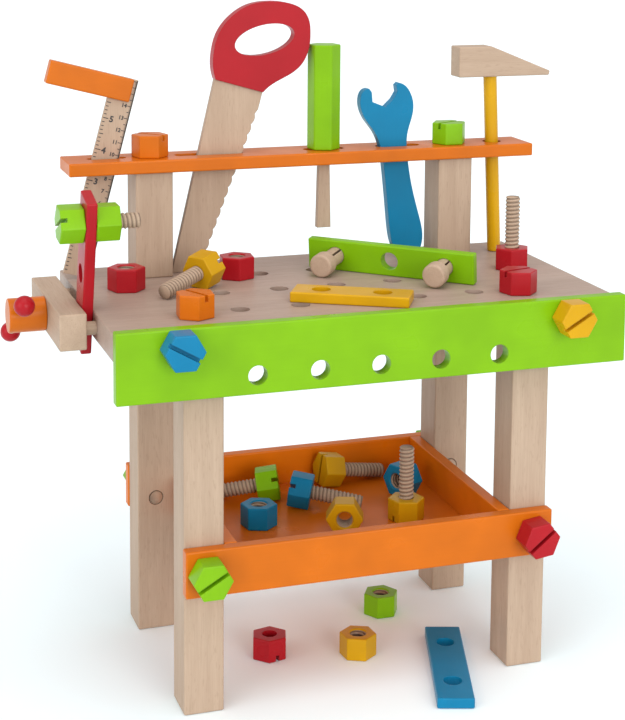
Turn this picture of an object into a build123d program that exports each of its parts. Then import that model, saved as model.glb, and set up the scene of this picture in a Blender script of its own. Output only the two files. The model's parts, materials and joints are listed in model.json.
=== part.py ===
from build123d import *
import math
import os

# Toy tool bench of painted and natural beech, in millimetres.
# Bench coordinates while modelling: X runs along the bench with 0 at its middle, Y = 0 is the
# front face of the front legs, and Z = 0 is the floor. The finished model is moved once, at the
# end, so that its origin is the middle of the underside of its bounding box.

# ---------------------------------------------------------------- frame
LEG_WIDTH = 30.0            # section of legs and posts
LEG_DEPTH = 32.0
LEG_X = 129.0               # leg centres, either side of the middle
REAR_LEG_Y = 151.0          # front face of the rear legs
TOP_THICK = 20.0
TOP_Z = 292.0               # working surface
TOP_X = 196.5
TOP_FRONT_Y = -8.0
TOP_BACK_Y = 201.0
BOARD = 10.0                # apron, rails and rack board thickness
APRON_LEFT_X, APRON_RIGHT_X = -196.5, 199.0
APRON_Z0, APRON_Z1 = 243.0, 295.0
APRON_HOLE_Z = 257.0
RAIL_X = 145.0
RAIL_Z0, RAIL_Z1 = 93.0, 128.0
TRAY_X = 113.5              # outer faces of the tray's side walls
TRAY_WALL = 9.5
TRAY_FLOOR = 5.0
TRAY_FLOOR_Z = 98.5         # upper face of the tray's floor
EDGE = 1.2                  # rounding of wooden edges

# ---------------------------------------------------------------- hole grid
HOLE_R = 7.25
PITCH_X = 47.0
PITCH_Y = 53.5
GRID_X = 2.0                # middle column of the worktop's holes
GRID_Y = 88.5               # middle row of the worktop's holes

# ---------------------------------------------------------------- tool rack
RACK_X = 197.5
RACK_Y0, RACK_Y1 = 146.0, 188.0
RACK_Z0, RACK_Z1 = 377.0, 387.5
SLOT_Y = 167.0              # middle of the rack's slots and of the tools in them

# ---------------------------------------------------------------- wooden bolts and nuts
HEX_FLATS = 25.6
HEX_HEIGHT = 18.0
HEX_EDGE = 1.0
SLOT_WIDTH = 3.0
SLOT_DEPTH = 5.0
SHANK_R = 6.0
SHANK_OUT = 42.0            # shank that stands out of the head
SHANK_IN = 11.0             # shank glued into the head
NUT_BORE_R = 6.3
THREAD_LEAD = 3.2

# ---------------------------------------------------------------- strips
STRIP_THICK = 8.0
STRIP_HOLE_R = 7.25

# ---------------------------------------------------------------- vise
JAW_GAP = 8.3               # jaw to worktop, which is the clamped strip and a little play
JAW_THICK = 20.0
JAW_Y0, JAW_Y1 = 42.0, 167.0
JAW_Z0, JAW_Z1 = 268.5, 295.5
VISE_Y = 104.5
VISE_Z = 282.0
GUIDE_R = 5.0
GUIDE_Y = (52.0, 157.0)
VISE_SCREW_R = 6.5
HUB_R = 13.0
HUB_LENGTH = 28.0
TOMMY_R = 3.3
TOMMY_BALL_R = 7.8
TOMMY_TILT = -27.5          # slope of the bar, falling towards the back
FIT = 0.06                  # radial clearance of a running fit

parts = {}


def rounded_box(x0, x1, y0, y1, z0, z1, edge=EDGE):
    """A block between two corners, with all its edges rounded."""
    block = Pos((x0 + x1) / 2, (y0 + y1) / 2, (z0 + z1) / 2) * Box(x1 - x0, y1 - y0, z1 - z0)
    return fillet(block.edges(), edge)


def rod(radius, start, end):
    """A round bar from one point to another."""
    start, end = Vector(start), Vector(end)
    axis = end - start
    plane = Plane(origin=start, z_dir=axis)
    return plane * Cylinder(radius, axis.length, align=(Align.CENTER, Align.CENTER, Align.MIN))


def together(pieces):
    """Several solids as one flat compound."""
    return Compound([solid for piece in pieces for solid in piece.solids()])


def hex_block():
    """A hexagonal block standing on Z = 0, flats facing +Y and -Y, rims rounded."""
    block = extrude(RegularPolygon(HEX_FLATS / 2, 6, major_radius=False), HEX_HEIGHT)
    return fillet(block.edges(), HEX_EDGE)


def nut():
    """A nut: hexagonal block with a threaded through hole, its mouths chamfered."""
    bore = Cylinder(NUT_BORE_R, HEX_HEIGHT, align=(Align.CENTER, Align.CENTER, Align.MIN))
    block = hex_block() - bore
    mouths = block.edges().filter_by(GeomType.CIRCLE).filter_by(lambda e: abs(e.radius - NUT_BORE_R) < 0.01)
    return chamfer(mouths, 1.0)


def cap():
    """A slotted cap: slot across its upper face, blind threaded hole from below."""
    groove = Pos(0, 0, HEX_HEIGHT) * Box(SLOT_WIDTH, HEX_FLATS * 2, SLOT_DEPTH * 2)
    bore = Cylinder(SHANK_R, SHANK_IN, align=(Align.CENTER, Align.CENTER, Align.MIN))
    return hex_block() - groove - bore


def bolt():
    """A bolt: slotted cap above Z = 0 and its glued threaded shank, which points down."""
    shank = Pos(0, 0, -SHANK_OUT) * Cylinder(
        SHANK_R, SHANK_OUT + SHANK_IN, align=(Align.CENTER, Align.CENTER, Align.MIN))
    tip = shank.edges().sort_by(Axis.Z)[0]
    return together([cap(), chamfer(tip, 0.8)])


def bolt_cutter(radius=SHANK_R):
    """The hole that a bolt's shank fills, from its head's face downwards."""
    return Pos(0, 0, -SHANK_OUT) * Cylinder(radius, SHANK_OUT, align=(Align.CENTER, Align.CENTER, Align.MIN))


def aim(x, y, z, direction, turn=0.0):
    """Places a bolt's or nut's local +Z along a direction, turned about it.

    At turn 0 the slot is upright on a piece that points sideways, and runs along Y on one that points up.
    """
    sideways = (0, -1, 0) if abs(direction[0]) > 0.5 else (1, 0, 0)
    return Plane(origin=(x, y, z), x_dir=sideways, z_dir=direction).location * Rot(0, 0, turn)


# ================================================================ frame bolts
# Each place is where the underside of the head sits, the way the head points, and its turn.
APRON_BOLT_X = 151.0
APRON_BOLT_Z = TOP_Z - TOP_THICK / 2
RAIL_BOLT_Z = (RAIL_Z0 + RAIL_Z1) / 2
FRONT_FACE_APRON = TOP_FRONT_Y - BOARD
LEG_MID_Y = LEG_DEPTH / 2
POST_MID_Y = REAR_LEG_Y + LEG_DEPTH / 2
REAR_RAIL_Y = REAR_LEG_Y + LEG_DEPTH

FORWARD, BACKWARD, UP = (0, -1, 0), (0, 1, 0), (0, 0, 1)
frame_bolts = {
    "apron_bolt_left": aim(-APRON_BOLT_X, FRONT_FACE_APRON, APRON_BOLT_Z, FORWARD, 60),
    "apron_bolt_right": aim(APRON_BOLT_X, FRONT_FACE_APRON, APRON_BOLT_Z, FORWARD, -60),
    "rail_bolt_left": aim(-LEG_X, -BOARD, RAIL_BOLT_Z, FORWARD, -60),
    "rail_bolt_right": aim(LEG_X, -BOARD, RAIL_BOLT_Z, FORWARD, -52),
    "rack_bolt_left": aim(-LEG_X, POST_MID_Y, RACK_Z1, UP, 45),
    "rack_bolt_right": aim(LEG_X, POST_MID_Y, RACK_Z1, UP, -62),
}
rear_bolt_places = [aim(side * LEG_X, REAR_RAIL_Y + BOARD, RAIL_BOLT_Z, BACKWARD, -60) for side in (-1, 1)]
all_bolt_holes = [place * bolt_cutter() for place in list(frame_bolts.values()) + rear_bolt_places]

# hidden dowels that hold the legs and posts to the worktop
DOWEL_R = 5.0
DOWEL_GRIP = 24.0
BLIND = 12.0


def dowel(x, y, z0, z1):
    return Pos(x, y, z0) * Cylinder(DOWEL_R, z1 - z0, align=(Align.CENTER, Align.CENTER, Align.MIN))


UNDER_TOP = TOP_Z - TOP_THICK
dowels = []
for side in (-1, 1):
    dowels.append(dowel(side * LEG_X, LEG_MID_Y, UNDER_TOP - DOWEL_GRIP, UNDER_TOP + BLIND))
    dowels.append(dowel(side * LEG_X, POST_MID_Y, UNDER_TOP - DOWEL_GRIP, TOP_Z + DOWEL_GRIP))


def drilled(shape, cutters):
    """The shape with every cutter that touches it taken away."""
    box = shape.bounding_box()
    for cutter in cutters:
        other = cutter.bounding_box()
        apart = (other.min.X > box.max.X or other.max.X < box.min.X
                 or other.min.Y > box.max.Y or other.max.Y < box.min.Y
                 or other.min.Z > box.max.Z or other.max.Z < box.min.Z)
        if not apart:
            shape = shape - cutter
    return shape


# ================================================================ frame boards
worktop = rounded_box(-TOP_X, TOP_X, TOP_FRONT_Y, TOP_BACK_Y, UNDER_TOP, TOP_Z)
for column in range(-2, 3):
    for row in (-1, 0, 1):
        x, y = GRID_X + column * PITCH_X, GRID_Y + row * PITCH_Y
        worktop = worktop - Pos(x, y, TOP_Z - TOP_THICK / 2) * Cylinder(HOLE_R, TOP_THICK * 2)
GUIDE_DEPTH = 62.0
VISE_SCREW_DEPTH = 60.0
for y in GUIDE_Y:
    worktop = worktop - rod(GUIDE_R + FIT, (-TOP_X - 1, y, VISE_Z), (-TOP_X + GUIDE_DEPTH, y, VISE_Z))
worktop = worktop - rod(VISE_SCREW_R + FIT, (-TOP_X - 1, VISE_Y, VISE_Z),
                        (-TOP_X + VISE_SCREW_DEPTH, VISE_Y, VISE_Z))
parts["worktop"] = drilled(worktop, all_bolt_holes + dowels)

apron = rounded_box(APRON_LEFT_X, APRON_RIGHT_X, FRONT_FACE_APRON, TOP_FRONT_Y, APRON_Z0, APRON_Z1)
for column in range(-2, 3):
    apron = apron - rod(HOLE_R, (column * PITCH_X, FRONT_FACE_APRON - 1, APRON_HOLE_Z),
                        (column * PITCH_X, TOP_FRONT_Y + 1, APRON_HOLE_Z))
parts["front_apron"] = drilled(apron, all_bolt_holes)

for end, side in (("left", -1), ("right", 1)):
    x0, x1 = side * LEG_X - LEG_WIDTH / 2, side * LEG_X + LEG_WIDTH / 2
    front = rounded_box(x0, x1, 0, LEG_DEPTH, 0, UNDER_TOP)
    rear = rounded_box(x0, x1, REAR_LEG_Y, REAR_LEG_Y + LEG_DEPTH, 0, UNDER_TOP)
    post = rounded_box(x0, x1, REAR_LEG_Y, REAR_LEG_Y + LEG_DEPTH, TOP_Z, RACK_Z0)
    parts["leg_front_" + end] = drilled(front, all_bolt_holes + dowels)
    parts["leg_rear_" + end] = drilled(rear, all_bolt_holes + dowels)
    parts["rack_post_" + end] = drilled(post, all_bolt_holes + dowels)

front_rail = rounded_box(-RAIL_X, RAIL_X, -BOARD, 0, RAIL_Z0, RAIL_Z1)
rear_rail = rounded_box(-RAIL_X, RAIL_X, REAR_RAIL_Y, REAR_RAIL_Y + BOARD, RAIL_Z0, RAIL_Z1)
parts["front_rail"] = drilled(front_rail, all_bolt_holes)
parts["rear_rail"] = drilled(rear_rail, all_bolt_holes)

INNER_X = TRAY_X - TRAY_WALL
for end, x0, x1 in (("left", -TRAY_X, -INNER_X), ("right", INNER_X, TRAY_X)):
    parts["tray_wall_" + end] = rounded_box(x0, x1, 0, REAR_RAIL_Y, RAIL_Z0, RAIL_Z1, 0.8)
parts["tray_floor"] = rounded_box(-INNER_X, INNER_X, 0, REAR_RAIL_Y, TRAY_FLOOR_Z - TRAY_FLOOR,
                                  TRAY_FLOOR_Z, 0.3)

# ================================================================ tool rack
# Round-ended slots: middle x, length and width.
RACK_SLOTS = {"ruler": (-164.1, 31.7, 8.0), "saw": (-80.5, 57.0, 11.0), "driver": (17.2, 35.0, 11.0),
              "wrench": (82.5, 39.0, 12.0)}
DRIVER_X = 17.2
HAMMER_RACK_X = 168.8
HAMMER_HOLE_R = 8.0
rack = rounded_box(-RACK_X, RACK_X, RACK_Y0, RACK_Y1, RACK_Z0, RACK_Z1)
for middle, length, width in RACK_SLOTS.values():
    rack = rack - Pos(middle, SLOT_Y, RACK_Z0 - 5) * extrude(SlotOverall(length, width), 20)
rack = rack - Pos(HAMMER_RACK_X, SLOT_Y, RACK_Z0) * Cylinder(HAMMER_HOLE_R, 40)
parts["tool_rack"] = drilled(rack, all_bolt_holes)

for name, place in frame_bolts.items():
    parts[name] = place * bolt()
parts["rear_bolts"] = together([place * bolt() for place in rear_bolt_places])
parts["assembly_dowels"] = together(dowels)

# ================================================================ vise
JAW_X1 = -TOP_X - JAW_GAP
JAW_X0 = JAW_X1 - JAW_THICK
jaw = rounded_box(JAW_X0, JAW_X1, JAW_Y0, JAW_Y1, JAW_Z0, JAW_Z1)
guides = []
for y in GUIDE_Y:
    guide = rod(GUIDE_R, (JAW_X0 + 6, y, VISE_Z), (-TOP_X + GUIDE_DEPTH - 4, y, VISE_Z))
    jaw = jaw - rod(GUIDE_R, (JAW_X0 + 6, y, VISE_Z), (JAW_X1 + 1, y, VISE_Z))
    guides.append(guide)
jaw = jaw - rod(VISE_SCREW_R + FIT, (JAW_X0 - 1, VISE_Y, VISE_Z), (JAW_X1 + 1, VISE_Y, VISE_Z))
parts["vise_jaw"] = jaw
parts["vise_guide_rods"] = together(guides)

HUB_X1 = JAW_X0
HUB_X0 = HUB_X1 - HUB_LENGTH
TOMMY_X = HUB_X0 + 9.0
TOMMY_FRONT, TOMMY_BACK = 27.5, 54.5      # ball centres from the hub's axis
hub = rod(HUB_R, (HUB_X0, VISE_Y, VISE_Z), (HUB_X1, VISE_Y, VISE_Z))
hub = fillet(hub.edges(), 1.0)
tilt = math.radians(TOMMY_TILT)
bar_way = Vector(0, math.cos(tilt), math.sin(tilt))
hub_centre = Vector(TOMMY_X, VISE_Y, VISE_Z)
front_ball = hub_centre - bar_way * TOMMY_FRONT
back_ball = hub_centre + bar_way * TOMMY_BACK
hub = hub - rod(TOMMY_R + FIT, front_ball, back_ball)
screw_start = TOMMY_X + 9.0
screw = rod(VISE_SCREW_R, (screw_start, VISE_Y, VISE_Z), (-TOP_X + VISE_SCREW_DEPTH - 4, VISE_Y, VISE_Z))
parts["vise_hub"] = hub - rod(VISE_SCREW_R, (screw_start, VISE_Y, VISE_Z), (HUB_X1 + 1, VISE_Y, VISE_Z))
parts["vise_screw"] = screw
balls = [Pos(*centre) * Sphere(TOMMY_BALL_R) for centre in (front_ball, back_ball)]
bar = rod(TOMMY_R, front_ball + bar_way * 2, back_ball - bar_way * 2)
parts["tommy_bar"] = together([bar] + [ball - bar for ball in balls])


# ================================================================ strips
def strip(length, width, holes):
    """A flat strip lying on Z = 0 along X, with holes at the given places along it."""
    board = rounded_box(-length / 2, length / 2, -width / 2, width / 2, 0, STRIP_THICK)
    for x in holes:
        board = board - Pos(x, 0, STRIP_THICK / 2) * Cylinder(STRIP_HOLE_R, STRIP_THICK * 2)
    return board


RED_PITCH = 40.5
RED_LEAN = 14.5             # lean of the clamped strip towards the front
red_middle = Pos(-TOP_X - JAW_GAP / 2, 66.0, 320.0)
# local X of the strip points up along its leaning length, local Z points along +X of the bench
red_plane = Plane(origin=red_middle.position - Vector(STRIP_THICK / 2, 0, 0),
                  x_dir=(0, -math.sin(math.radians(RED_LEAN)), math.cos(math.radians(RED_LEAN))),
                  z_dir=(1, 0, 0))
parts["red_strip"] = red_plane * strip(122.0, 26.0, (-RED_PITCH, 0, RED_PITCH))
clamp_point = red_plane * Pos(RED_PITCH, 0, 0)
bolt_y, bolt_z = clamp_point.position.Y, clamp_point.position.Z
BOLT_PLAY = 0.1
strip_left_x = red_plane.origin.X
strip_right_x = strip_left_x + STRIP_THICK
parts["strip_bolt"] = aim(strip_left_x - BOLT_PLAY, bolt_y, bolt_z, (-1, 0, 0), -67) * bolt()
parts["strip_nut"] = aim(strip_right_x + BOLT_PLAY, bolt_y, bolt_z, (1, 0, 0), 1) * nut()

# ================================================================ saw
SAW_THICK = 6.0
SAW_HANDLE_THICK = 10.0


def upright(outline_face, thickness):
    """A flat outline drawn in X and Z, given a thickness centred on the rack's slots."""
    plane = Plane(origin=(0, SLOT_Y + thickness / 2, 0), x_dir=(1, 0, 0), z_dir=(0, -1, 0))
    return plane * extrude(outline_face, thickness)


# The blade's back edge, toothed edge and heel, and the outline of the handle, as (x, z).
SAW_FOOT_Z = TOP_Z + 0.1
SAW_HEEL = (-76.0, 448.0)
SAW_SHOULDER = (-36.3, 436.5)
SAW_NECK = (-40.0, 422.5)
SAW_TOOTH_TOP = (-42.8, 419.0)
SAW_TOOTH_FOOT = (-84.4, 309.0)
SAW_TEETH = 13
SAW_TOOTH_BULGE = (1.3, -0.5)
with BuildLine() as blade_line:
    Polyline([(-89.0, SAW_FOOT_Z), (-111.8, SAW_FOOT_Z), SAW_HEEL, SAW_SHOULDER, SAW_NECK,
              SAW_TOOTH_TOP])
    previous = Vector(*SAW_TOOTH_TOP)
    step = (Vector(*SAW_TOOTH_FOOT) - previous) / SAW_TEETH
    for tooth in range(SAW_TEETH):
        following = previous + step
        ThreePointArc(previous, (previous + following) / 2 + Vector(*SAW_TOOTH_BULGE), following)
        previous = following
    Line(previous, (-89.0, SAW_FOOT_Z))
parts["saw_blade"] = upright(make_face(blade_line.line), SAW_THICK)

with BuildLine() as handle_line:
    Spline([SAW_HEEL, (-78.3, 461.0), (-77.3, 472.0), (-72.8, 486.0), (-62.4, 498.7), (-47.9, 507.4),
            (-31.0, 510.0), (-14.3, 508.3), (-2.6, 502.5), (2.4, 494.5), (3.7, 484.0), (3.2, 475.0),
            (1.8, 469.0), (-1.8, 461.0), (-9.7, 453.0), (-22.4, 446.2), SAW_SHOULDER])
    Line(SAW_SHOULDER, SAW_HEEL)
handle_face = make_face(handle_line.line) - Pos(-35.0, 479.2) * Rot(0, 0, 12.0) * Ellipse(25.5, 12.0)
parts["saw_handle"] = upright(handle_face, SAW_HANDLE_THICK)

# ================================================================ screwdriver
DRIVER_HANDLE_FLATS = 24.0  # hexagonal handle with rounded corners
DRIVER_HANDLE_CORNER = 2.5
DRIVER_HANDLE_TURN = -22.0
DRIVER_HANDLE_TOP = 474.0
DRIVER_NECK_HALF = 4.5      # half width of the blade under the rack
DRIVER_TIP_HALF = 5.8
DRIVER_THICK = 6.0
DRIVER_TIP_Z = 322.0
DRIVER_TANG_Z = RACK_Z1 + 25
handle = extrude(RegularPolygon(DRIVER_HANDLE_FLATS / 2, 6, major_radius=False),
                 DRIVER_HANDLE_TOP - RACK_Z1 - 0.1)
handle = fillet(handle.edges().filter_by(Axis.Z), DRIVER_HANDLE_CORNER)
handle = fillet(handle.faces().sort_by(Axis.Z)[0].edges() + handle.faces().sort_by(Axis.Z)[-1].edges(), 1.2)
handle = Pos(DRIVER_X, SLOT_Y, RACK_Z1 + 0.1) * Rot(0, 0, DRIVER_HANDLE_TURN) * handle
with BuildLine() as driver_line:
    Polyline([(DRIVER_X - DRIVER_NECK_HALF, DRIVER_TANG_Z), (DRIVER_X + DRIVER_NECK_HALF, DRIVER_TANG_Z),
              (DRIVER_X + DRIVER_NECK_HALF, RACK_Z0), (DRIVER_X + DRIVER_TIP_HALF, DRIVER_TIP_Z),
              (DRIVER_X - DRIVER_TIP_HALF, DRIVER_TIP_Z), (DRIVER_X - DRIVER_NECK_HALF, RACK_Z0)], close=True)
blade = upright(make_face(driver_line.line), DRIVER_THICK)
parts["screwdriver_handle"] = handle - blade
parts["screwdriver_shank"] = blade

# ================================================================ wrench
WRENCH_THICK = 8.0
WRENCH_FOOT_Z = TOP_Z + 0.1
WRENCH_LEFT = [(55.5, 436.4), (50.6, 434.6), (47.8, 427.3), (48.9, 418.5), (52.4, 411.0), (59.6, 401.5),
               (64.8, 391.5), (67.9, 380.0), (70.4, 362.0), (73.0, 338.0), (75.5, 315.0), (78.3, 303.5),
               (83.5, 295.5), (90.0, WRENCH_FOOT_Z)]
WRENCH_RIGHT = [(92.0, WRENCH_FOOT_Z), (99.5, 294.5), (104.0, 302.5), (104.8, 312.0), (102.0, 325.5),
                (97.2, 342.5), (93.4, 358.5), (90.8, 374.0), (89.4, 388.0), (90.3, 399.5), (93.4, 410.2),
                (95.0, 420.9), (92.6, 431.0), (87.6, 438.0), (81.8, 440.6)]
WRENCH_MOUTH = [(81.8, 440.6), (79.6, 438.4), (80.5, 432.9), (76.8, 426.8), (70.2, 420.6), (58.6, 425.3),
                (57.8, 433.4), (55.5, 436.4)]
with BuildLine() as wrench_line:
    Spline(*WRENCH_LEFT)
    Line(WRENCH_LEFT[-1], WRENCH_RIGHT[0])
    Spline(*WRENCH_RIGHT)
    Polyline(*WRENCH_MOUTH)
parts["wrench"] = upright(make_face(wrench_line.line), WRENCH_THICK)

# ================================================================ hammer
HAMMER_LEAN = 2.6
HAMMER_HANDLE_R = 5.7
HAMMER_DEPTH = 19.0
HAMMER_FOOT = Vector(173.0, SLOT_Y, TOP_Z + 0.3)
HAMMER_LENGTH = 158.0
lean = math.radians(HAMMER_LEAN)
hammer_way = Vector(-math.sin(lean), 0, math.cos(lean))
hammer_handle = rod(HAMMER_HANDLE_R, HAMMER_FOOT, HAMMER_FOOT + hammer_way * HAMMER_LENGTH)
hammer_handle = fillet(hammer_handle.edges().filter_by(GeomType.CIRCLE), 1.2)
with BuildLine() as head_line:
    Polyline([(133.8, 443.8), (133.8, 469.5), (163.5, 469.5), (217.8, 447.6), (217.0, 443.8)], close=True)
head = fillet(upright(make_face(head_line.line), HAMMER_DEPTH).edges(), 1.2)
parts["hammer_handle"] = hammer_handle
parts["hammer_head"] = head - hammer_handle

# ================================================================ square
SQUARE_LEAN = 14.8
RULER_WIDTH = 21.0
RULER_THICK = 3.5
RULER_LENGTH = 162.0
STOCK_LENGTH = 68.0
STOCK_HEIGHT = 18.5
STOCK_THICK = 11.0
STOCK_INSET = 4.0           # the ruler's edge stands this far out of the stock's end
square_lean = math.radians(SQUARE_LEAN)
ruler_way = Vector(math.sin(square_lean), 0, math.cos(square_lean))
ruler_foot = Vector(-179.5, SLOT_Y, TOP_Z + 0.2)
# local X runs across the ruler from its lower right corner, local Y up along it
square_plane = Plane(origin=ruler_foot + Vector(0, RULER_THICK / 2, 0),
                     x_dir=(math.cos(square_lean), 0, -math.sin(square_lean)), z_dir=(0, -1, 0))
ruler = Pos(-RULER_WIDTH / 2, RULER_LENGTH / 2, RULER_THICK / 2) * Box(RULER_WIDTH, RULER_LENGTH, RULER_THICK)
stock_x1 = -STOCK_INSET
stock_x0 = stock_x1 - STOCK_LENGTH
stock = Pos((stock_x0 + stock_x1) / 2, RULER_LENGTH - STOCK_HEIGHT / 2, RULER_THICK / 2) * Box(
    STOCK_LENGTH, STOCK_HEIGHT, STOCK_THICK)
stock = fillet(stock.edges(), EDGE) - ruler
parts["square_blade"] = square_plane * fillet(ruler.edges(), 0.3)
parts["square_stock"] = square_plane * stock

# ================================================================ loose pieces on the worktop
REST = 0.05                 # air under a piece that stands on something


def stand(piece, x, y, z, turn):
    """Stands a piece on a surface at height z."""
    return Pos(x, y, z + REST) * Rot(0, 0, turn) * piece


slot_up = cap()
slot_down = Pos(0, 0, HEX_HEIGHT) * Rot(180, 0, 0) * cap()
bolt_standing = Pos(0, 0, HEX_HEIGHT) * Rot(180, 0, 0) * bolt()
# a lying bolt rests on one flat of its head and on its tip
droop = math.degrees(math.asin((HEX_FLATS / 2 - SHANK_R) / SHANK_OUT))


def bolt_lying(x, y, z, heading, roll=0.0):
    """A bolt lying at height z: the underside of its head at x, y, its shank pointing to heading."""
    lying = Rot(0, 0, heading) * Rot(0, 90 + droop, 0) * Rot(0, 0, roll) * Rot(180, 0, 0) * bolt()
    return Pos(x, y, z - lying.bounding_box().min.Z + REST) * lying


parts["red_nut_left"] = stand(nut(), -159.0, 119.5, TOP_Z, -12)
parts["red_nut_rear"] = stand(nut(), -66.3, 134.0, TOP_Z, 24)
parts["orange_cap"] = stand(slot_up, -129.0, 24.0, TOP_Z, 26)
parts["red_cap"] = stand(slot_up, 127.8, 23.5, TOP_Z, -76)
parts["red_bolt_standing"] = stand(bolt_standing, 158.0, 99.5, TOP_Z, 4)
parts["yellow_bolt_worktop"] = bolt_lying(-106.4, 105.0, TOP_Z, 218.0, 30)

YELLOW_TURN = -29.0
parts["yellow_strip"] = stand(strip(90.5, 28.0, (-23.5, 23.5)), -4.5, 34.5, TOP_Z, YELLOW_TURN)

# Strip held on edge by two split pegs, whose knobs rest on the worktop in front of it.
GREEN_TURN = -43.5
GREEN_LENGTH, GREEN_WIDTH = 143.0, 25.0
PEG_KNOB_R = 9.5
PEG_KNOB_LENGTH = 12.0
PEG_SHANK_R = 7.0
PEG_SHANK_LENGTH = 30.0
PEG_SLIT = 1.6
PEG_REACH = {"left": 34.5, "right": 29.0}     # strip's middle plane to the knob's face
green_lean = math.degrees(math.atan((GREEN_WIDTH / 2 - PEG_KNOB_R) / (PEG_REACH["left"] - STRIP_THICK / 2)))
green_height = GREEN_WIDTH / 2 * math.cos(math.radians(green_lean)) + STRIP_THICK / 2 * math.sin(
    math.radians(green_lean))
green_place = Pos(54.0, 104.5, TOP_Z + green_height + REST) * Rot(0, 0, GREEN_TURN) * Rot(green_lean, 0, 0)
on_edge = Rot(90, 0, 0) * Pos(0, 0, -STRIP_THICK / 2)
parts["green_strip"] = green_place * on_edge * strip(GREEN_LENGTH, GREEN_WIDTH, (-PITCH_X, 0, PITCH_X))


def peg(reach):
    """A split peg: knob towards -Y, its slit shank through the strip towards +Y."""
    knob = rod(PEG_KNOB_R, (0, -reach, 0), (0, -reach + PEG_KNOB_LENGTH, 0))
    knob = fillet(knob.edges().filter_by(GeomType.CIRCLE), 2.0)
    shank_start = -reach + PEG_KNOB_LENGTH
    shank = rod(PEG_SHANK_R, (0, shank_start - 1, 0), (0, shank_start + PEG_SHANK_LENGTH, 0))
    slit = Pos(0, shank_start + 3 + PEG_SHANK_LENGTH / 2, 0) * Box(PEG_SLIT, PEG_SHANK_LENGTH, PEG_SHANK_R * 3)
    return knob + (shank - Rot(0, 40, 0) * slit)


for end, side in (("left", -1), ("right", 1)):
    parts["peg_" + end] = green_place * Pos(side * PITCH_X, 0, 0) * peg(PEG_REACH[end])

# ================================================================ loose pieces in the tray
lying_nut = Pos(0, 0, HEX_FLATS / 2) * Rot(90, 0, 0) * Pos(0, 0, -HEX_HEIGHT / 2) * nut()
parts["blue_nut_upright"] = stand(nut(), -58.0, 98.5, TRAY_FLOOR_Z, -21)
parts["blue_nut_lying"] = stand(lying_nut, 77.0, 130.0, TRAY_FLOOR_Z, -65)
parts["yellow_nut_lying"] = stand(lying_nut, 2.3, 65.0, TRAY_FLOOR_Z, -20)
parts["yellow_bolt_standing"] = stand(bolt_standing, 58.5, 76.0, TRAY_FLOOR_Z, 106)
parts["green_bolt_tray"] = bolt_lying(-43.6, 152.0, TRAY_FLOOR_Z, 163.0, 30)
parts["blue_bolt_tray"] = bolt_lying(-5.8, 123.0, TRAY_FLOOR_Z, -25.0, -30)
parts["yellow_bolt_tray"] = bolt_lying(33.5, 167.8, TRAY_FLOOR_Z, 8.0, 90)

# ================================================================ loose pieces on the floor
parts["red_cap_floor"] = stand(slot_down, -56.0, 75.0, 0, 13)
parts["yellow_nut_floor"] = stand(nut(), 11.2, 56.0, 0, 35)
parts["green_nut_floor"] = stand(nut(), 56.0, 123.5, 0, 0)
parts["blue_strip"] = stand(strip(123.0, 28.0, (-32.7, 32.7)), 68.7, 8.0, 0, 72.0)

# ================================================================ origin and files
low = [min(getattr(piece.bounding_box().min, axis) for piece in parts.values()) for axis in "XYZ"]
high = [max(getattr(piece.bounding_box().max, axis) for piece in parts.values()) for axis in "XYZ"]
ORIGIN_SHIFT = (-(low[0] + high[0]) / 2, -(low[1] + high[1]) / 2, -low[2])
os.makedirs("parts", exist_ok=True)
for name, piece in parts.items():
    export_step(Pos(*ORIGIN_SHIFT) * piece, "parts/" + name + ".step")
print(len(parts), "nodes, size", [round(h - l, 1) for l, h in zip(low, high)], "shift", ORIGIN_SHIFT)
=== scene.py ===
import json
import math

import bmesh
import bpy
import numpy as np
from mathutils import Matrix, Vector


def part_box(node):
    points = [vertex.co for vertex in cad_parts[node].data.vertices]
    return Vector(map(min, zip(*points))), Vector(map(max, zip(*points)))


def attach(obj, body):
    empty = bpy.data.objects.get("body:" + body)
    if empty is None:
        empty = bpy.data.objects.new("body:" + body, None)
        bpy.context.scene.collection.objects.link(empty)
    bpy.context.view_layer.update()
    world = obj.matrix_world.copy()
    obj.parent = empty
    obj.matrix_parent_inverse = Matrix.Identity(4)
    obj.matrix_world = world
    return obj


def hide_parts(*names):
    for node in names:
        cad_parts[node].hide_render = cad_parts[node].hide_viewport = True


# Toy tool bench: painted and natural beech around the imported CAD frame, in metres.

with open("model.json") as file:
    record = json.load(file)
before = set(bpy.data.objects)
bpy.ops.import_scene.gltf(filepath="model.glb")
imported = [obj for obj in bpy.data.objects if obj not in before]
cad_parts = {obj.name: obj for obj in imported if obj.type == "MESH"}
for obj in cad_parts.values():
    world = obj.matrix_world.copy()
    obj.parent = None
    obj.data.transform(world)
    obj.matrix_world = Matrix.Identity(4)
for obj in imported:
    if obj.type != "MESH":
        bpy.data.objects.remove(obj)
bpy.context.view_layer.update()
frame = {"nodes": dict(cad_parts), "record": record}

MM = 0.001

# ---------------------------------------------------------------- colours (linear)
GREEN = (0.205, 0.45, 0.003)
ORANGE = (0.61, 0.140, 0.004)
LIT_TRAY_ORANGE = (0.77, 0.175, 0.003)      # painted light: the orange paint made lighter and redder for the tray and the rear rail, standing in for light bounced inside the tray
RED = (0.41, 0.009, 0.016)
BLUE = (0.004, 0.19, 0.365)
YELLOW = (0.62, 0.33, 0.004)
BEECH_LIGHT = (0.50, 0.365, 0.265)
BEECH_DARK = (0.34, 0.23, 0.16)
TOP_LIGHT = (0.44, 0.325, 0.265)
TOP_DARK = (0.29, 0.205, 0.16)
INK = (0.03, 0.025, 0.025)

WOOD_EDGE = 0.8 * MM        # radius to which the shading rounds sharp edges
PAINT_EDGE = 0.9 * MM


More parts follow.
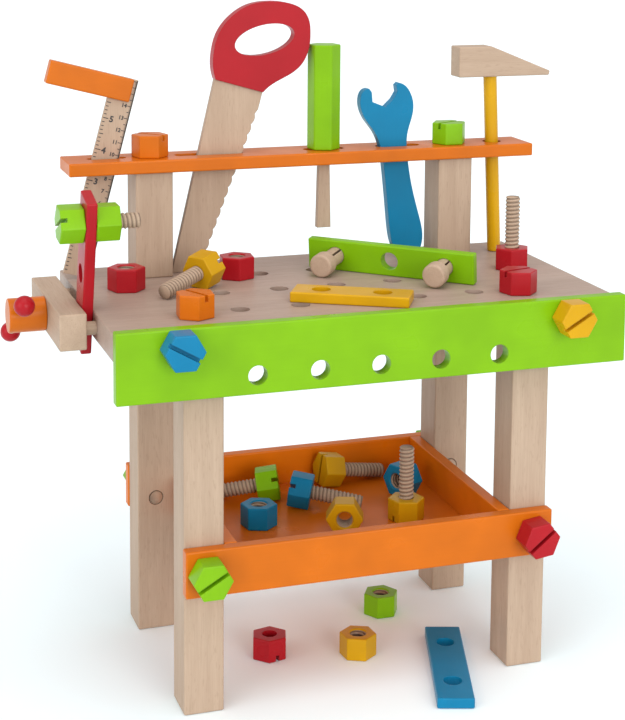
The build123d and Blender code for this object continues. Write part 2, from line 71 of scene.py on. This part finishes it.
# ================================================================ materials
def new_material(name):
    """A material with an empty Principled shader, and helpers to add and join nodes."""
    material = bpy.data.materials.new(name)
    material.use_nodes = True
    tree = material.node_tree
    shader = tree.nodes["Principled BSDF"]

    def add(kind, **inputs):
        node = tree.nodes.new(kind)
        for key, value in inputs.items():
            if hasattr(node, key):
                setattr(node, key, value)
            else:
                node.inputs[key.replace("_", " ")].default_value = value
        return node

    return material, shader, add, tree.links.new


def grain_coordinates(add, link, axis, along):
    """Object coordinates squeezed along the grain's axis (0, 1 or 2)."""
    place = add("ShaderNodeTexCoord")
    squeeze = add("ShaderNodeMapping")
    scale = [1.0, 1.0, 1.0]
    scale[axis] = along
    squeeze.inputs["Scale"].default_value = scale
    link(place.outputs["Object"], squeeze.inputs["Vector"])
    return squeeze.outputs["Vector"]


def noise(add, link, vector, scale, detail=3.0, rough=0.5):
    node = add("ShaderNodeTexNoise")
    node.inputs["Scale"].default_value = scale
    node.inputs["Detail"].default_value = detail
    node.inputs["Roughness"].default_value = rough
    link(vector, node.inputs["Vector"])
    return node.outputs["Fac"]


def spread(add, link, value, low, high, to_low, to_high):
    node = add("ShaderNodeMapRange")
    for key, number in (("From Min", low), ("From Max", high), ("To Min", to_low), ("To Max", to_high)):
        node.inputs[key].default_value = number
    link(value, node.inputs["Value"])
    return node.outputs["Result"]


def mix_colour(add, link, factor, first, second):
    node = add("ShaderNodeMix", data_type="RGBA")
    for key, colour in (("A", first), ("B", second)):
        socket = [s for s in node.inputs if s.name == key and s.type == "RGBA"][0]
        if isinstance(colour, tuple):
            socket.default_value = (*colour, 1)
        else:
            link(colour, socket)
    link(factor, [s for s in node.inputs if s.name == "Factor" and s.type == "VALUE"][0])
    return [s for s in node.outputs if s.type == "RGBA"][0]


def bump(add, link, height, strength, distance, normal=None):
    node = add("ShaderNodeBump")
    node.inputs["Strength"].default_value = strength
    node.inputs["Distance"].default_value = distance
    link(height, node.inputs["Height"])
    if normal is not None:
        link(normal, node.inputs["Normal"])
    return node.outputs["Normal"]


def beech(name, axis, light=BEECH_LIGHT, dark=BEECH_DARK, roughness=0.5):
    """Sanded beech: soft bands, fine fibres and short dark flecks along the grain's axis."""
    material, shader, add, link = new_material(name)
    bands_at = grain_coordinates(add, link, axis, 0.07)
    fibres_at = grain_coordinates(add, link, axis, 0.03)
    flecks_at = grain_coordinates(add, link, axis, 0.16)
    bands = spread(add, link, noise(add, link, bands_at, 90, 4, 0.6), 0.3, 0.7, 0.0, 1.0)
    fibres = noise(add, link, fibres_at, 1400, 3, 0.6)
    flecks = spread(add, link, noise(add, link, flecks_at, 900, 1, 0.4), 0.62, 0.72, 0.0, 1.0)
    middle = tuple((a * 0.55 + b * 0.45) for a, b in zip(light, dark))
    colour = mix_colour(add, link, bands, light, middle)
    fibre_share = spread(add, link, fibres, 0.35, 0.75, 0.0, 0.35)
    colour = mix_colour(add, link, fibre_share, colour, dark)
    fleck_share = add("ShaderNodeMath", operation="MULTIPLY")
    link(flecks, fleck_share.inputs[0])
    fleck_share.inputs[1].default_value = 0.35
    colour = mix_colour(add, link, fleck_share.outputs[0], colour, dark)
    shader.inputs["Specular IOR Level"].default_value = 0.2
    # Painted shade: the thread grooves are darkened towards a deep brown.
    cut = add("ShaderNodeAttribute", attribute_name="groove")
    groove_shade_share = spread(add, link, cut.outputs["Fac"], 0.35, 1.0, 0.0, 0.75)
    deep = tuple(0.35 * c for c in dark)
    colour = mix_colour(add, link, groove_shade_share, colour, deep)
    link(colour, shader.inputs["Base Color"])
    fibre_gloss = spread(add, link, fibres, 0.3, 0.7, roughness - 0.06, roughness + 0.08)
    link(fibre_gloss, shader.inputs["Roughness"])
    edge = add("ShaderNodeBevel", samples=4)
    edge.inputs["Radius"].default_value = WOOD_EDGE
    link(bump(add, link, fibres, 0.25, 0.0002, edge.outputs["Normal"]), shader.inputs["Normal"])
    return material


def paint(name, colour, axis=0, roughness=0.30):
    """Semi-gloss paint on beech: a little grain shows through, and edges are painted lighter, partly as
    paint rubbed thin and partly as painted sheen.
    """
    material, shader, add, link = new_material(name)
    grain_at = grain_coordinates(add, link, axis, 0.05)
    even_at = grain_coordinates(add, link, axis, 1.0)
    grain = noise(add, link, grain_at, 500, 3, 0.55)
    clouds = noise(add, link, even_at, 28, 2, 0.5)
    peel = noise(add, link, even_at, 700, 1, 0.4)
    deep = tuple(0.86 * c for c in colour)
    pale = tuple(min(1.0, 1.05 * c + 0.012) for c in colour)
    tone = mix_colour(add, link, spread(add, link, clouds, 0.3, 0.7, 0.0, 1.0), colour, deep)
    tone = mix_colour(add, link, spread(add, link, grain, 0.45, 0.8, 0.0, 0.35), tone, deep)
    edge = add("ShaderNodeBevel", samples=4)
    edge.inputs["Radius"].default_value = PAINT_EDGE
    flat = add("ShaderNodeNewGeometry")
    facing = add("ShaderNodeVectorMath", operation="DOT_PRODUCT")
    link(edge.outputs["Normal"], facing.inputs[0])
    link(flat.outputs["Normal"], facing.inputs[1])
    # Edges lighter: partly paint rubbed thin, partly a painted sheen where edges catch the light.
    wear_and_sheen = spread(add, link, facing.outputs["Value"], 0.995, 0.90, 0.0, 0.6)
    tone = mix_colour(add, link, wear_and_sheen, tone, pale)
    link(tone, shader.inputs["Base Color"])
    cloud_gloss = spread(add, link, clouds, 0.3, 0.7, roughness - 0.04, roughness + 0.06)
    link(cloud_gloss, shader.inputs["Roughness"])
    shader.inputs["Specular IOR Level"].default_value = 0.16
    shader.inputs["Coat Weight"].default_value = 0.04
    shader.inputs["Coat Roughness"].default_value = 0.2
    first = bump(add, link, grain, 0.12, 0.0002, edge.outputs["Normal"])
    link(bump(add, link, peel, 0.06, 0.0002, first), shader.inputs["Normal"])
    return material


def ink(name):
    """Printed dark ink, slightly uneven."""
    material, shader, add, link = new_material(name)
    at = grain_coordinates(add, link, 0, 1.0)
    blot = noise(add, link, at, 600, 2, 0.5)
    pale = tuple(c + 0.03 for c in INK)
    link(mix_colour(add, link, spread(add, link, blot, 0.4, 0.8, 0.0, 1.0), INK, pale),
         shader.inputs["Base Color"])
    shader.inputs["Roughness"].default_value = 0.6
    return material


# The 'tray' paint is the orange made lighter as painted light inside the tray.
PAINTS = {"green": GREEN, "orange": ORANGE, "tray": LIT_TRAY_ORANGE, "red": RED, "blue": BLUE,
          "yellow": YELLOW}
materials = {}
for colour_name, colour_value in PAINTS.items():
    for axis_index, axis_name in enumerate("xyz"):
        paint_name = f"{colour_name}_paint_{axis_name}"
        materials[colour_name, axis_name] = paint(paint_name, colour_value, axis_index)
for axis_index, axis_name in enumerate("xyz"):
    materials["beech", axis_name] = beech(f"natural_beech_{axis_name}", axis_index)
materials["worktop", "x"] = beech("worktop_beech_x", 0, TOP_LIGHT, TOP_DARK, 0.42)
materials["ink", "x"] = ink("ruler_ink")


def dress(thing, colour, axis):
    """Gives an object one material."""
    thing.data.materials.clear()
    thing.data.materials.append(materials[colour, axis])


# ================================================================ meshes read from the frame
def patches(node):
    """The smooth faces of a CAD node, each as (points, faces, normals of the faces)."""
    mesh = frame["nodes"][node].data
    points = np.array([v.co for v in mesh.vertices]).reshape(-1, 3)
    parent = list(range(len(points)))

    def root(i):
        while parent[i] != i:
            parent[i] = parent[parent[i]]
            i = parent[i]
        return i

    for polygon in mesh.polygons:
        corners = list(polygon.vertices)
        for other in corners[1:]:
            parent[root(other)] = root(corners[0])
    groups = {}
    for polygon in mesh.polygons:
        groups.setdefault(root(polygon.vertices[0]), []).append(polygon)
    found = []
    for group in groups.values():
        used = sorted(set(v for polygon in group for v in polygon.vertices))
        order = {v: i for i, v in enumerate(used)}
        faces = [[order[v] for v in polygon.vertices] for polygon in group]
        normals = np.array([polygon.normal for polygon in group])
        found.append((points[used], faces, normals))
    return found


def joined(some_patches):
    """Several patches as one welded solid: (points, faces)."""
    points = np.concatenate([p for p, faces, normals in some_patches])
    keys, index = np.unique(np.round(points / 2e-6).astype(np.int64), axis=0, return_inverse=True)
    index = index.reshape(-1)
    welded = np.zeros((len(keys), 3))
    welded[index] = points
    solid, start = [], 0
    for patch_points, faces, normals in some_patches:
        for corners in faces:
            face = [int(index[start + c]) for c in corners]
            if len(set(face)) == len(face):
                solid.append(face)
        start += len(patch_points)
    return welded, solid


def long_axis(points):
    """Middle, direction and half length of a long round face."""
    middle = (points.max(0) + points.min(0)) / 2
    direction = np.linalg.svd(points - points.mean(0), full_matrices=False)[2][0]
    along = (points - middle) @ direction
    middle = middle + direction * (along.max() + along.min()) / 2
    return middle, direction, (along.max() - along.min()) / 2


def long_faces(found, least):
    """The long faces among patches, with their axes."""
    axes = [(patch, *long_axis(patch[0])) for patch in found if len(patch[0]) > 4]
    return [entry for entry in axes if entry[3] > least / 2]


def new_object(name, points, faces, smooth_angle=35.0):
    """A new mesh object."""
    mesh = bpy.data.meshes.new(name)
    mesh.from_pydata([tuple(p) for p in points], [], faces)
    mesh.update()
    thing = bpy.data.objects.new(name, mesh)
    bpy.context.scene.collection.objects.link(thing)
    smooth(thing, smooth_angle)
    return thing


def smooth(thing, angle):
    """Smooth shading that keeps edges sharper than the angle."""
    mesh = thing.data
    mesh.shade_smooth()
    mesh.set_sharp_from_angle(angle=math.radians(angle))


def place_along(thing, start, direction):
    """Puts an object's origin at start with its +Z along direction."""
    turn = Vector(direction).to_track_quat("Z", "Y").to_matrix().to_4x4()
    thing.matrix_world = Matrix.Translation(start) @ turn


# ================================================================ threads
THREAD_PITCH = 3.2 * MM
THREAD_DEPTH = 0.95 * MM
THREAD_SIDES = 36
THREAD_STEPS = 10           # rings for each turn of the thread
SHANK_RADIUS = 6.0 * MM


def groove_at(phase):
    """How deep a thread is cut at a phase along it: 0 on the ridge, 1 at the bottom."""
    away = abs(2 * (phase % 1.0) - 1)
    return min(1.0, max(0.0, (away - 0.12) / 0.80))


def thread_mesh(name, profile, length, inward=False):
    """A helical surface along +Z, whose radius is profile(z, groove).

    Returns its points, its faces, how deep each point lies in the groove, and the number of rings.
    """
    rings = max(4, int(length / THREAD_PITCH * THREAD_STEPS))
    points, faces, grooves = [], [], []
    for ring in range(rings + 1):
        z = length * ring / rings
        for side in range(THREAD_SIDES):
            angle = 2 * math.pi * side / THREAD_SIDES
            groove = groove_at(z / THREAD_PITCH - side / THREAD_SIDES)
            r = profile(z, groove)
            points.append((r * math.cos(angle), r * math.sin(angle), z))
            grooves.append(groove)
    for ring in range(rings):
        for side in range(THREAD_SIDES):
            a = ring * THREAD_SIDES + side
            b = ring * THREAD_SIDES + (side + 1) % THREAD_SIDES
            quad = (a, b, b + THREAD_SIDES, a + THREAD_SIDES)
            faces.append(tuple(reversed(quad)) if inward else quad)
    return points, faces, grooves, rings


def grooved_object(name, points, faces, grooves):
    """A mesh object that carries how deep each point lies in the groove, for its material's painted shade
    in the grooves.
    """
    thing = new_object(name, points, faces, 60.0)
    shade = thing.data.attributes.new("groove", "FLOAT", "POINT")
    shade.data.foreach_set("value", grooves)
    return thing


def threaded_rod(name, radius, length):
    """A wooden screw along +Z from 0 to length, with sharp ridges and a chamfered tip."""
    def profile(z, groove):
        from_tip = (length - z) / (1.0 * MM)
        return radius - max(THREAD_DEPTH * groove, (1 - min(1.0, from_tip)) * 0.9 * MM)

    points, faces, grooves, rings = thread_mesh(name, profile, length)
    faces.append(tuple(reversed(range(THREAD_SIDES))))
    faces.append(tuple(rings * THREAD_SIDES + side for side in range(THREAD_SIDES)))
    return grooved_object(name, points, faces, grooves)


def threaded_sleeve(name, inner, outer, length):
    """The cut thread of a nut: a thin ring along +Z whose inside is threaded."""
    def inside(z, groove):
        flare = max(0.0, 1 - min(z, length - z) / (1.0 * MM)) * 0.7 * MM
        return min(outer - 0.05 * MM, inner + THREAD_DEPTH * groove * 0.8 + flare)

    points, faces, grooves, rings = thread_mesh(name, inside, length, inward=True)
    count = len(points)
    for z in (0.0, length):
        for side in range(THREAD_SIDES):
            angle = 2 * math.pi * side / THREAD_SIDES
            points.append((outer * math.cos(angle), outer * math.sin(angle), z))
            grooves.append(0.0)
    top = rings * THREAD_SIDES
    for side in range(THREAD_SIDES):
        after = (side + 1) % THREAD_SIDES
        low, low_after = count + side, count + after
        high, high_after = low + THREAD_SIDES, low_after + THREAD_SIDES
        faces.append((low, low_after, high_after, high))
        faces.append((low_after, low, side, after))
        faces.append((high, high_after, top + after, top + side))
    return grooved_object(name, points, faces, grooves)


SHANK_LEAST = 45 * MM       # a round face longer than this is a shank
SHANK_IN_HEAD = 12 * MM     # a face that lies wholly this deep is the socket in the head
TIP_ROUND = 0.75 * MM       # the threaded tip reaches this far past the shank's round face


def build_bolt(node, body, colour):
    """Replaces a CAD bolt: its slotted head in paint, and a real thread on its dowel."""
    found = patches(node)
    shanks = long_faces(found, SHANK_LEAST)
    shank_middles = [middle for side, middle, direction, half in shanks]

    def nearest_shank(patch):
        return int(np.argmin([np.linalg.norm(patch[0].mean(0) - middle) for middle in shank_middles]))

    for number, (side, middle, direction, half) in enumerate(shanks, 1):
        ending = f"_{number}" if len(shanks) > 1 else ""
        mine = [p for p in found if nearest_shank(p) == number - 1]
        reach = SHANK_RADIUS + 0.05 * MM
        wide = [p for p in mine if distance_from_axis(p[0], middle, direction).max() > reach]
        heart = joined(wide)[0].mean(0)
        if (heart - middle) @ direction > 0:
            direction = -direction          # from the head to the tip
        inside = middle - direction * (half - SHANK_IN_HEAD)
        socket = []
        for p in mine:
            if any(p is w for w in wide) or p is side:
                continue
            deep = ((p[0] - inside) @ direction).max() < 0
            if deep and (p[2] @ direction).mean() > -0.5:
                socket.append(p)
        cap = new_object(f"{node}_head{ending}", *joined(wide + socket))
        dress(cap, colour, "z")
        tip = middle + direction * (half + TIP_ROUND)
        start = middle - direction * half
        shank = threaded_rod(f"{node}_shank{ending}", SHANK_RADIUS, float((tip - start) @ direction))
        place_along(shank, Vector(start), direction)
        dress(shank, "beech", "z")
        for piece in (shank, cap):
            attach(piece, body)
            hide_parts(node)


def distance_from_axis(points, middle, direction):
    """How far each point lies from a line."""
    offset = points - middle
    return np.linalg.norm(offset - np.outer(offset @ direction, direction), axis=1)


BOLTS = {
    "apron_bolt_left": "blue", "apron_bolt_right": "yellow", "rail_bolt_left": "green",
    "rail_bolt_right": "red", "rack_bolt_left": "orange", "rack_bolt_right": "green",
    "rear_bolts": "green", "strip_bolt": "green", "yellow_bolt_worktop": "yellow",
    "red_bolt_standing": "red", "yellow_bolt_standing": "yellow", "green_bolt_tray": "green",
    "blue_bolt_tray": "blue", "yellow_bolt_tray": "yellow",
}
body_of_node = {n: b for b, members in frame["record"]["behaviour"]["bodies"].items() for n in members}
for bolt_node, bolt_colour in BOLTS.items():
    build_bolt(bolt_node, body_of_node[bolt_node], bolt_colour)

# ================================================================ threads cut in the nuts
NUT_BORE = 6.3 * MM
NUT_THREAD_INNER = 5.5 * MM
NUT_LEAST = 10 * MM         # a bore shorter than this gets no thread
ROUND_FACES = 12            # a patch with fewer faces than this is no bore


def line_nut(node, body):
    """A threaded sleeve inside a nut's bore, just within its wall."""
    found = patches(node)
    for points, faces, normals in found:
        if len(faces) < ROUND_FACES:
            continue
        middle = (points.max(0) + points.min(0)) / 2
        bore_axis = np.linalg.svd(normals)[2][2]
        offset = distance_from_axis(points, middle, bore_axis)
        if offset.max() - offset.min() < 0.02 * MM and abs(offset.mean() - NUT_BORE) < 0.05 * MM:
            along = (points - middle) @ bore_axis
            length = float(along.max() - along.min())
            if length < NUT_LEAST:
                continue
            start = middle + bore_axis * along.min()
            sleeve = threaded_sleeve(f"{node}_thread", NUT_THREAD_INNER, NUT_BORE - 0.02 * MM, length)
            place_along(sleeve, Vector(start), bore_axis)
            dress(sleeve, "beech", "z")
            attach(sleeve, body)


for nut_node in ("red_nut_left", "red_nut_rear", "blue_nut_upright", "blue_nut_lying",
                 "yellow_nut_lying", "yellow_nut_floor", "green_nut_floor"):
    line_nut(nut_node, body_of_node[nut_node])

# ================================================================ CAD nodes that stay
KEPT = {
    "worktop": ("worktop", "x"), "front_apron": ("green", "x"),
    "leg_front_left": ("beech", "z"), "leg_front_right": ("beech", "z"),
    "leg_rear_left": ("beech", "z"), "leg_rear_right": ("beech", "z"),
    "rack_post_left": ("beech", "z"), "rack_post_right": ("beech", "z"),
    # The tray pieces and the rear rail get the lightened 'tray' orange: painted light.
    "front_rail": ("orange", "x"), "rear_rail": ("tray", "x"), "tray_floor": ("tray", "x"),
    "tray_wall_left": ("tray", "y"), "tray_wall_right": ("tray", "y"), "tool_rack": ("orange", "x"),
    "assembly_dowels": ("beech", "z"), "vise_jaw": ("beech", "y"), "vise_guide_rods": ("beech", "x"),
    "vise_screw": ("beech", "x"), "vise_hub": ("orange", "x"), "tommy_bar": ("red", "y"),
    "red_strip": ("red", "z"), "strip_nut": ("green", "x"), "saw_blade": ("beech", "z"),
    "saw_handle": ("red", "z"), "screwdriver_handle": ("green", "z"), "screwdriver_shank": ("beech", "z"),
    "wrench": ("blue", "z"), "hammer_handle": ("yellow", "z"), "hammer_head": ("beech", "x"),
    "square_stock": ("orange", "x"), "square_blade": ("beech", "z"), "green_strip": ("green", "x"),
    "peg_left": ("beech", "y"), "peg_right": ("beech", "y"), "yellow_strip": ("yellow", "x"),
    "blue_strip": ("blue", "y"), "red_nut_left": ("red", "z"), "red_nut_rear": ("red", "z"),
    "orange_cap": ("orange", "z"), "red_cap": ("red", "z"), "blue_nut_upright": ("blue", "z"),
    "blue_nut_lying": ("blue", "z"), "yellow_nut_lying": ("yellow", "z"), "red_cap_floor": ("red", "z"),
    "yellow_nut_floor": ("yellow", "z"), "green_nut_floor": ("green", "z"),
}
for kept_node, (kept_colour, kept_axis) in KEPT.items():
    dress(frame["nodes"][kept_node], kept_colour, kept_axis)

# ================================================================ tommy bar
# The bar between its two painted balls is bare beech.
tommy = frame["nodes"]["tommy_bar"]
TOMMY_LEAST = 40 * MM
bar_faces = long_faces(patches("tommy_bar"), TOMMY_LEAST)
bar_face, bar_middle, bar_way, bar_half = max(bar_faces, key=lambda entry: entry[3])
bar_radius = distance_from_axis(bar_face[0], bar_middle, bar_way).mean()
tommy.data.materials.append(materials["beech", "y"])
for polygon in tommy.data.polygons:
    corners = np.array([tommy.data.vertices[v].co for v in polygon.vertices])
    on_side = distance_from_axis(corners, bar_middle, bar_way).max() < bar_radius + 0.01 * MM
    between_balls = np.abs((corners - bar_middle) @ bar_way).max() < bar_half + 0.01 * MM
    polygon.material_index = 1 if on_side and between_balls else 0

# ================================================================ ruler marks
INCH = 25.4 * MM
MARK_HEIGHT = 0.05 * MM
UNDER_STOCK = 19.5 * MM     # upper end of the ruler, where the stock leaves no room for marks


def add_box(points, faces, centre, axes, halves):
    """A box given by its middle, three directions and half sizes."""
    start = len(points)
    for a in (-1, 1):
        for b in (-1, 1):
            for c in (-1, 1):
                points.append(centre + axes[0] * halves[0] * a + axes[1] * halves[1] * b
                              + axes[2] * halves[2] * c)
    for quad in ((0, 1, 3, 2), (4, 6, 7, 5), (0, 4, 5, 1), (2, 3, 7, 6), (0, 2, 6, 4), (1, 5, 7, 3)):
        faces.append(tuple(start + corner for corner in quad))


def add_number(points, faces, text, centre, axes, height):
    """A number as a thin solid, standing along the ruler."""
    curve = bpy.data.curves.new("number", "FONT")
    curve.body = text
    curve.size = height * 1.35
    curve.align_x = "CENTER"
    curve.align_y = "CENTER"
    curve.extrude = 2 * MARK_HEIGHT
    curve.resolution_u = 2
    curve.offset = 0.05 * height
    thing = bpy.data.objects.new("number", curve)
    mesh = bpy.data.meshes.new_from_object(thing)
    work = bmesh.new()
    work.from_mesh(mesh)
    bmesh.ops.remove_doubles(work, verts=work.verts, dist=1e-7)
    start = len(points)
    for vertex in work.verts:
        points.append(centre + axes[0] * vertex.co.x + axes[1] * vertex.co.y + axes[2] * vertex.co.z)
    for face in work.faces:
        faces.append(tuple(start + vertex.index for vertex in face.verts))
    work.free()
    bpy.data.objects.remove(thing)
    bpy.data.curves.remove(curve)
    bpy.data.meshes.remove(mesh)


def ruler_marks():
    """Printed scales on the ruler: millimetres and centimetres on its right, inches on its left."""
    front = max((p for p in patches("square_blade") if (p[2] @ np.array((0, -1, 0))).mean() > 0.99),
                key=lambda p: np.ptp(p[0][:, 2]))
    points_on_face = front[0]
    way = np.linalg.svd(points_on_face - points_on_face.mean(0), full_matrices=False)[2][0]
    along = Vector(way if way[2] > 0 else -way)
    out = Vector((0, -1, 0))
    across = along.cross(out).normalized()
    ups = points_on_face @ np.array(along)
    sides = points_on_face @ np.array(across)
    length, width = float(np.ptp(ups)), float(np.ptp(sides))
    corner = along * float(ups.min()) + across * float(sides.max())
    corner.y = float(points_on_face[:, 1].min())
    axes = (across, along, out)
    free_length = length - UNDER_STOCK
    points, faces = [], []

    def tick(distance, from_right, reach, thick):
        place = corner + along * distance - across * (reach / 2 if from_right else width - reach / 2)
        add_box(points, faces, place, axes, (reach / 2, thick / 2, MARK_HEIGHT))

    for step in range(1, int(length / MM)):
        reach = 3.8 if step % 10 == 0 else 3.0 if step % 5 == 0 else 1.8
        tick(step * MM, True, reach * MM, (0.65 if step % 5 == 0 else 0.35) * MM)
    for step in range(1, int(length / (INCH / 8))):
        if step * INCH / 8 < free_length:
            reach = 4.4 if step % 8 == 0 else 3.4 if step % 4 == 0 else 2.2
            tick(step * INCH / 8, False, reach * MM, 0.7 * MM)
    add_box(points, faces, corner + along * length / 2 - across * 0.45 * MM, axes,
            (0.4 * MM, length / 2 - 0.3 * MM, MARK_HEIGHT))
    for count in range(1, int(free_length / (10 * MM)) + 1):
        place = corner + along * (count * 10 * MM - 0.2 * MM) - across * 6.2 * MM
        add_number(points, faces, str(count), place, axes, 3.2 * MM)
    for count in range(1, int(free_length / INCH) + 1):
        place = corner + along * (count * INCH - 0.2 * MM) - across * (width - 7.0 * MM)
        add_number(points, faces, str(count), place, axes, 5.0 * MM)
    marks = new_object("ruler_marks", points, faces, 10.0)
    dress(marks, "ink", "x")
    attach(marks, "square")


ruler_marks()

# ================================================================ camera, floor and light
rail_low, rail_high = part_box("front_rail")
leg_low, leg_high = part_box("leg_front_left")
BENCH_MIDDLE = Vector(((rail_low.x + rail_high.x) / 2, leg_low.y, 0.0))    # on the front of the legs
CAMERA_PLACE = Vector((-429.91, -1135.07, 602.86)) * MM + BENCH_MIDDLE
CAMERA_YAW = math.radians(18.567)
CAMERA_PITCH = math.radians(7.247)
CAMERA_ROLL = math.radians(0.409)
CAMERA_LENS = 84.44
CAMERA_RISE = -0.3611

camera_data = bpy.data.cameras.new("camera")
camera = bpy.data.objects.new("camera", camera_data)
bpy.context.scene.collection.objects.link(camera)
forward = Vector((math.sin(CAMERA_YAW) * math.cos(CAMERA_PITCH),
                  math.cos(CAMERA_YAW) * math.cos(CAMERA_PITCH), -math.sin(CAMERA_PITCH)))
level = Vector((math.cos(CAMERA_YAW), -math.sin(CAMERA_YAW), 0.0))
above = level.cross(forward)
right = level * math.cos(CAMERA_ROLL) + above * math.sin(CAMERA_ROLL)
up = above * math.cos(CAMERA_ROLL) - level * math.sin(CAMERA_ROLL)
camera_axes = Matrix((right, up, -forward)).transposed().to_4x4()
camera.matrix_world = Matrix.Translation(CAMERA_PLACE) @ camera_axes
camera_data.sensor_width = 36.0
camera_data.lens = CAMERA_LENS
camera_data.shift_y = CAMERA_RISE
camera_data.clip_end = 50.0
bpy.context.scene.camera = camera


def soft_sun(name, azimuth, elevation, spread_angle, irradiance):
    """Soft light from far away; azimuth is measured from straight in front towards the bench's right."""
    data = bpy.data.lights.new(name, "SUN")
    data.angle = math.radians(spread_angle)
    data.energy = irradiance * math.pi
    light = bpy.data.objects.new(name, data)
    bpy.context.scene.collection.objects.link(light)
    turn, height = math.radians(azimuth), math.radians(elevation)
    towards = Vector((math.sin(turn) * math.cos(height), -math.cos(turn) * math.cos(height),
                      math.sin(height)))
    light.rotation_euler = towards.to_track_quat("Z", "Y").to_euler()


FLOOR_HALF = 60.0
FLOOR_DROP = 0.2 * MM       # air between the legs and the floor
floor_mesh = bpy.data.meshes.new("floor")
corners = [(-FLOOR_HALF, -FLOOR_HALF, 0), (FLOOR_HALF, -FLOOR_HALF, 0),
           (FLOOR_HALF, FLOOR_HALF, 0), (-FLOOR_HALF, FLOOR_HALF, 0)]
floor_mesh.from_pydata(corners, [], [(0, 1, 2, 3)])
floor = bpy.data.objects.new("floor", floor_mesh)
floor.location = (0, 0, -FLOOR_DROP)
bpy.context.scene.collection.objects.link(floor)
floor_material, floor_shader = new_material("floor_white")[:2]
floor_shader.inputs["Base Color"].default_value = (0.84, 0.93, 0.96, 1)
floor_shader.inputs["Roughness"].default_value = 0.9
floor_shader.inputs["Specular IOR Level"].default_value = 0.0
floor_shader.inputs["Emission Color"].default_value = (1.0, 1.0, 1.0, 1)
floor_shader.inputs["Emission Strength"].default_value = 0.05
floor_mesh.materials.append(floor_material)

soft_sun("key", 10, 14, 30, 0.36)
soft_sun("left", -62, 16, 50, 0.36)
soft_sun("overhead", 0, 75, 60, 0.38)

world = bpy.data.worlds.new("studio")
bpy.context.scene.world = world
world.use_nodes = True
background = world.node_tree.nodes["Background"]
background.inputs["Color"].default_value = (1.0, 1.0, 1.0, 1)
background.inputs["Strength"].default_value = 0.72
bpy.context.scene.view_settings.view_transform = "Standard"
